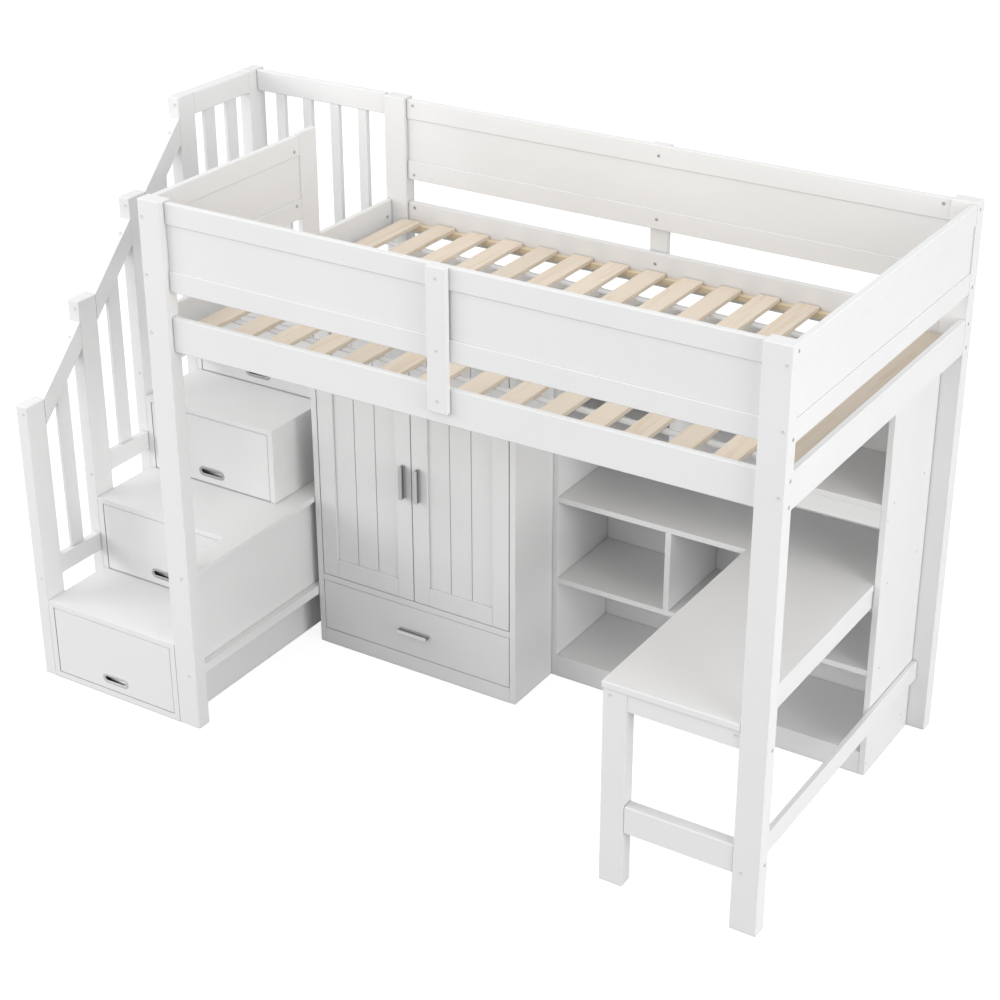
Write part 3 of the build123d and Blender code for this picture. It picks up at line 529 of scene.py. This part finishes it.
def paint_nodes():
    """Gives every solid its material, with the grain along the piece."""
    paints = [white_paint(axis) for axis in (X, Y, Z)]
    board = white_board()
    groove = handle_groove()
    upright_nickel = brushed("nickel_z", NICKEL, Z, rough=0.30, groove=groove)
    special = {
        "slats": pine("pine_slats", Y, slat_steps(), PINE_PALE, PINE_DARK),
        "slat_ledgers": pine("pine_ledgers", X, LEDGER_STEPS, LEDGER_PALE, LEDGER_DARK),
        "drawer_runners": board,
        "door_pivots": brushed("pivot_steel", STEEL, Z, rough=0.35),
        "wardrobe_drawer_handle": brushed("nickel_x", NICKEL, X, rough=0.30, groove=groove),
    }
    for name, node in NODES.items():
        if name in special:
            material = special[name]
        elif name.endswith("_box"):
            material = board
        elif name.endswith("_handle"):
            material = upright_nickel
        elif name in GRAIN_ALONG_Z:
            material = paints[Z]
        elif name in GRAIN_ALONG_Y:
            material = paints[Y]
        else:
            material = paints[X]
        node.data.materials.clear()
        node.data.materials.append(material)


def add_mesh(name, verts, faces, *materials):
    mesh = bpy.data.meshes.new(name)
    mesh.from_pydata(verts, [], faces)
    mesh.update()
    piece = bpy.data.objects.new(name, mesh)
    bpy.context.scene.collection.objects.link(piece)
    for material in materials:
        mesh.materials.append(material)
    return piece


def outward_normals(mesh):
    work = bmesh.new()
    work.from_mesh(mesh)
    bmesh.ops.recalc_face_normals(work, faces=work.faces)
    work.to_mesh(mesh)
    work.free()


def add_piece(name, verts, faces, kinds, materials, sharp_angle):
    """A piece with a material for each face, smooth except over edges sharper than an angle."""
    piece = add_mesh(name, verts, faces, *materials)
    piece.data.polygons.foreach_set("material_index", kinds)
    outward_normals(piece.data)
    for polygon in piece.data.polygons:
        polygon.use_smooth = True
    piece.data.set_sharp_from_angle(angle=math.radians(sharp_angle))
    return piece


def loft(rings, faces, first=0):
    """Adds the faces between closed rings with the same number of points, and one over the last.

    The first is the number of the first ring's first vertex.
    """
    count = len(rings[0])
    for ring in range(len(rings) - 1):
        for i in range(count):
            a = first + ring * count + i
            b = first + ring * count + (i + 1) % count
            faces.append((a, b, b + count, a + count))
    last = first + (len(rings) - 1) * count
    faces.append(tuple(range(last, last + count)))


def socket_radius(angle, sides):
    """How far a regular socket's outline is from its middle, for a corner distance of 1."""
    part = 2 * math.pi / sides
    return math.cos(part / 2) / math.cos(angle % part - part / 2)


def head_rings(rings, socket, sides):
    """Rings of a head in its own frame, as points of two face directions and a height."""
    angles = [2 * math.pi * i / HEAD_POINTS for i in range(HEAD_POINTS)]
    made = []
    for radius, height in rings:
        made.append([(radius * math.cos(a), radius * math.sin(a), height) for a in angles])
    for radius, height in socket:
        reach = [radius * socket_radius(a, sides) for a in angles]
        made.append([(r * math.cos(a), r * math.sin(a), height) for r, a in zip(reach, angles)])
    return made


def placed_head(rings, low, high):
    """The rings moved to where a solid head sits, whose thin side tells which way it looks."""
    middle = (low + high) / 2
    size = high - low
    if size.x < size.y:
        return [[(low.x + h, middle.y + u, middle.z + v) for u, v, h in ring] for ring in rings]
    return [[(middle.x + u, high.y - h, middle.z + v) for u, v, h in ring] for ring in rings]


def add_heads(name, heads, cap_rings, materials):
    """One piece of heads that are each given as their placed rings and their kind.

    The materials are a head and a socket for each kind.
    """
    verts = []
    faces = []
    kinds = []
    cap_faces = (cap_rings - 1) * HEAD_POINTS
    for rings, kind in heads:
        before = len(faces)
        loft(rings, faces, len(verts))
        verts += sum(rings, [])
        socket_faces = len(faces) - before - cap_faces
        kinds += [2 * kind] * cap_faces + [2 * kind + 1] * socket_faces
    return add_piece(name, verts, faces, kinds, materials, HEAD_SHARP_ANGLE)


def make_heads(node, shape, cap_rings, materials, choose):
    """Lathed heads with sockets in place of a node's plain ones; choose tells the kind of each."""
    heads = [(placed_head(shape, low, high), choose(low, high)) for low, high in loose_solids(node)]
    piece = add_heads(node.replace("heads", "caps"), heads, cap_rings, materials)
    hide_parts(node)
    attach(piece, "frame")


def make_slope_bolts(shape, materials):
    """A pale bolt near the upper end of each sloping handrail, which holds it to the next newel."""
    newels = loose_solids("stair_newels", Y)[:SLOPE_COUNT]
    rails = loose_solids("stair_handrails", Y)[:SLOPE_COUNT]
    in_right, in_upper = SLOPE_BOLT_IN
    heads = []
    for newel, (low, high) in zip(newels, rails):
        slope = Vector((0.0, high.y - low.y, high.z - newel[1].z)).normalized()
        outward = Vector((0.0, -slope.z, slope.y))
        place = Vector((high.x - in_right, high.y, high.z)) - slope * (in_upper / slope.y)
        rings = []
        for ring in shape:
            points = [place + Vector((u, 0.0, 0.0)) + slope * v + outward * h for u, v, h in ring]
            rings.append(points)
        heads.append((rings, 0))
    piece = add_heads("slope_bolt_caps", heads, len(BOLT_RINGS), materials)
    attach(piece, "frame")


def make_bolts():
    """Bolt and screw heads with their sockets."""
    rear_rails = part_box("guard_rear_rails")[0].y

    def kind(low, high):
        """0 for pale caps on the front faces, 1 for dark bolts on the sides and rear rails."""
        looks_right = high.x - low.x < high.y - low.y
        return 1 if looks_right or high.y > rear_rails - REAR_BOLT_MARGIN else 0

    socket = dark_socket()
    # The caps' sockets take a darker copy of the lacquer as painted shade
    caps = (cap_paint("cap_paint", CAP_PAINT), cap_paint("cap_socket", CAP_SOCKET_SHADE))
    bolts = (*caps, brushed("bolt_steel", DARK_STEEL, Z, rough=0.42), socket)
    bolt_shape = head_rings(BOLT_RINGS, BOLT_SOCKET, BOLT_SOCKET_SIDES)
    make_heads("bolt_heads", bolt_shape, len(BOLT_RINGS), bolts, kind)
    make_slope_bolts(bolt_shape, caps)
    screws = (brushed("screw_steel", STEEL, Y, rough=0.42), socket)
    screw_shape = head_rings(SCREW_RINGS, SCREW_SOCKET, SCREW_SOCKET_SIDES)
    make_heads("screw_heads", screw_shape, len(SCREW_RINGS), screws, lambda low, high: 0)


def stadium(straight, radius):
    """Points round a shape with two straight sides and two round ends."""
    points = []
    for side in (1, -1):
        for i in range(PULL_ARC_POINTS + 1):
            angle = math.pi * (i / PULL_ARC_POINTS - 0.5)
            across = straight / 2 + radius * math.cos(angle)
            points.append((side * across, side * radius * math.sin(angle)))
    return points


def make_pulls():
    """Smooth dished pulls in place of the plain ones, with a rim and a hollow with painted shade
    and light.
    """
    rim = brushed("pull_nickel", PULL_NICKEL, X, rough=0.54)
    low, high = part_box("step_drawer_1_pull")
    dish = pull_dish(low.x, high.x)
    for number in range(1, STEP_DRAWERS + 1):
        drawer = "step_drawer_%d" % number
        low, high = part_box(drawer + "_pull")
        middle = (low + high) / 2
        radius = (high.z - low.z) / 2
        straight = high.x - low.x - 2 * radius
        rings = []
        for inset, depth in PULL_RINGS:
            outline = stadium(straight, radius - inset)
            rings.append([(middle.x + x, low.y + depth, middle.z + z) for x, z in outline])
        faces = []
        loft(rings, faces)
        rim_faces = PULL_RIM_RINGS * len(rings[0])
        kinds = [0] * rim_faces + [1] * (len(faces) - rim_faces)
        name = drawer + "_oval_pull"
        piece = add_piece(name, sum(rings, []), faces, kinds, (rim, dish), PULL_SHARP_ANGLE)
        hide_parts(drawer + "_pull")
        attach(piece, drawer)


def webbing_line(start, end):
    """X and height along a strap: level under each slat and a little slack between two."""
    slats = loose_solids("slats")
    line = [(start, 0.0)]
    for here, there in zip(slats, slats[1:]):
        left = here[1].x
        right = there[0].x
        for i in range(WEB_STEPS + 1):
            along_gap = i / WEB_STEPS
            sag = 4 * WEB_SAG * along_gap * (1 - along_gap)
            line.append((left + (right - left) * along_gap, -sag))
    line.append((end, 0.0))
    return line


def webbing_outline():
    """The webbing's closed outline, across and up, with which of its runs are in a stripe."""
    far_side = [(-across, up) for across, up in WEB_OUTLINE[-2:0:-1]]
    outline = list(WEB_OUTLINE) + far_side
    near, far = WEB_STRIPE
    runs = []
    for here, there in zip(outline, outline[1:] + outline[:1]):
        runs.append(1 if near < abs(here[0] + there[0]) / 2 < far else 0)
    return outline, runs


def make_webbing():
    """Two straps of flat webbing under the slats, in place of the plain straps."""
    weave = webbing_weave("webbing", WEBBING, WEBBING_SHADE)
    stripe = webbing_weave("webbing_stripe", STRIPE, STRIPE_SHADE)
    outline, runs = webbing_outline()
    for name, (low, high) in zip(("webbing_front", "webbing_rear"), loose_solids("slat_straps", Y)):
        line = webbing_line(low.x, high.x)
        middle = (low.y + high.y) / 2
        top = high.z - WEB_LAID_UNDER
        rings = []
        for x, drop in line:
            rings.append([(x, middle + across, top + drop + up) for across, up in outline])
        faces = [tuple(range(len(outline)))]
        loft(rings, faces)
        kinds = [0] + runs * (len(line) - 1) + [0]
        piece = add_piece(name, sum(rings, []), faces, kinds, (weave, stripe), WEB_SHARP_ANGLE)
        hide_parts("slat_straps")
        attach(piece, "frame")


def make_floor():
    half = FLOOR_SIZE / 2
    corners = [(-half, -half, 0.0), (half, -half, 0.0), (half, half, 0.0), (-half, half, 0.0)]
    add_mesh("floor", corners, [(0, 1, 2, 3)], floor_paper())


def make_camera():
    data = bpy.data.cameras.new("camera")
    data.lens = CAMERA_LENS
    data.sensor_width = CAMERA_SENSOR
    data.shift_x, data.shift_y = CAMERA_SHIFT
    data.clip_end = CAMERA_REACH
    camera = bpy.data.objects.new("camera", data)
    camera.location = CAMERA_PLACE
    tilt = math.radians(90.0 - CAMERA_ELEVATION)
    camera.rotation_euler = (tilt, 0.0, math.radians(CAMERA_AZIMUTH))
    bpy.context.scene.collection.objects.link(camera)
    bpy.context.scene.camera = camera


def add_area(name, place, target, size, power):
    """A round soft lamp that looks at a target."""
    data = bpy.data.lights.new(name, "AREA")
    data.shape = "DISK"
    data.size = size
    data.energy = power
    lamp = bpy.data.objects.new(name, data)
    lamp.location = place
    aim = Vector(target) - Vector(place)
    lamp.rotation_euler = aim.to_track_quat("-Z", "Y").to_euler()
    bpy.context.scene.collection.objects.link(lamp)


def make_light():
    """The lamps, and a sky that looks white and gives a softer light."""
    for lamp in LAMPS:
        add_area(*lamp)
    world = bpy.data.worlds.new("studio")
    bpy.context.scene.world = world
    world.use_nodes = True
    tree = world.node_tree
    background = tree.nodes["Background"]
    background.inputs["Color"].default_value = opaque(WHITE)
    strength = tree.nodes.new("ShaderNodeMapRange")
    strength.inputs["To Min"].default_value = SKY_STRENGTH
    strength.inputs["To Max"].default_value = SKY_SEEN
    tree.links.new(seen_directly(tree), strength.inputs["Value"])
    tree.links.new(strength.outputs["Result"], background.inputs["Strength"])


paint_nodes()
make_bolts()
make_pulls()
make_webbing()
make_floor()
make_camera()
make_light()
bpy.context.scene.view_settings.view_transform = "Standard"
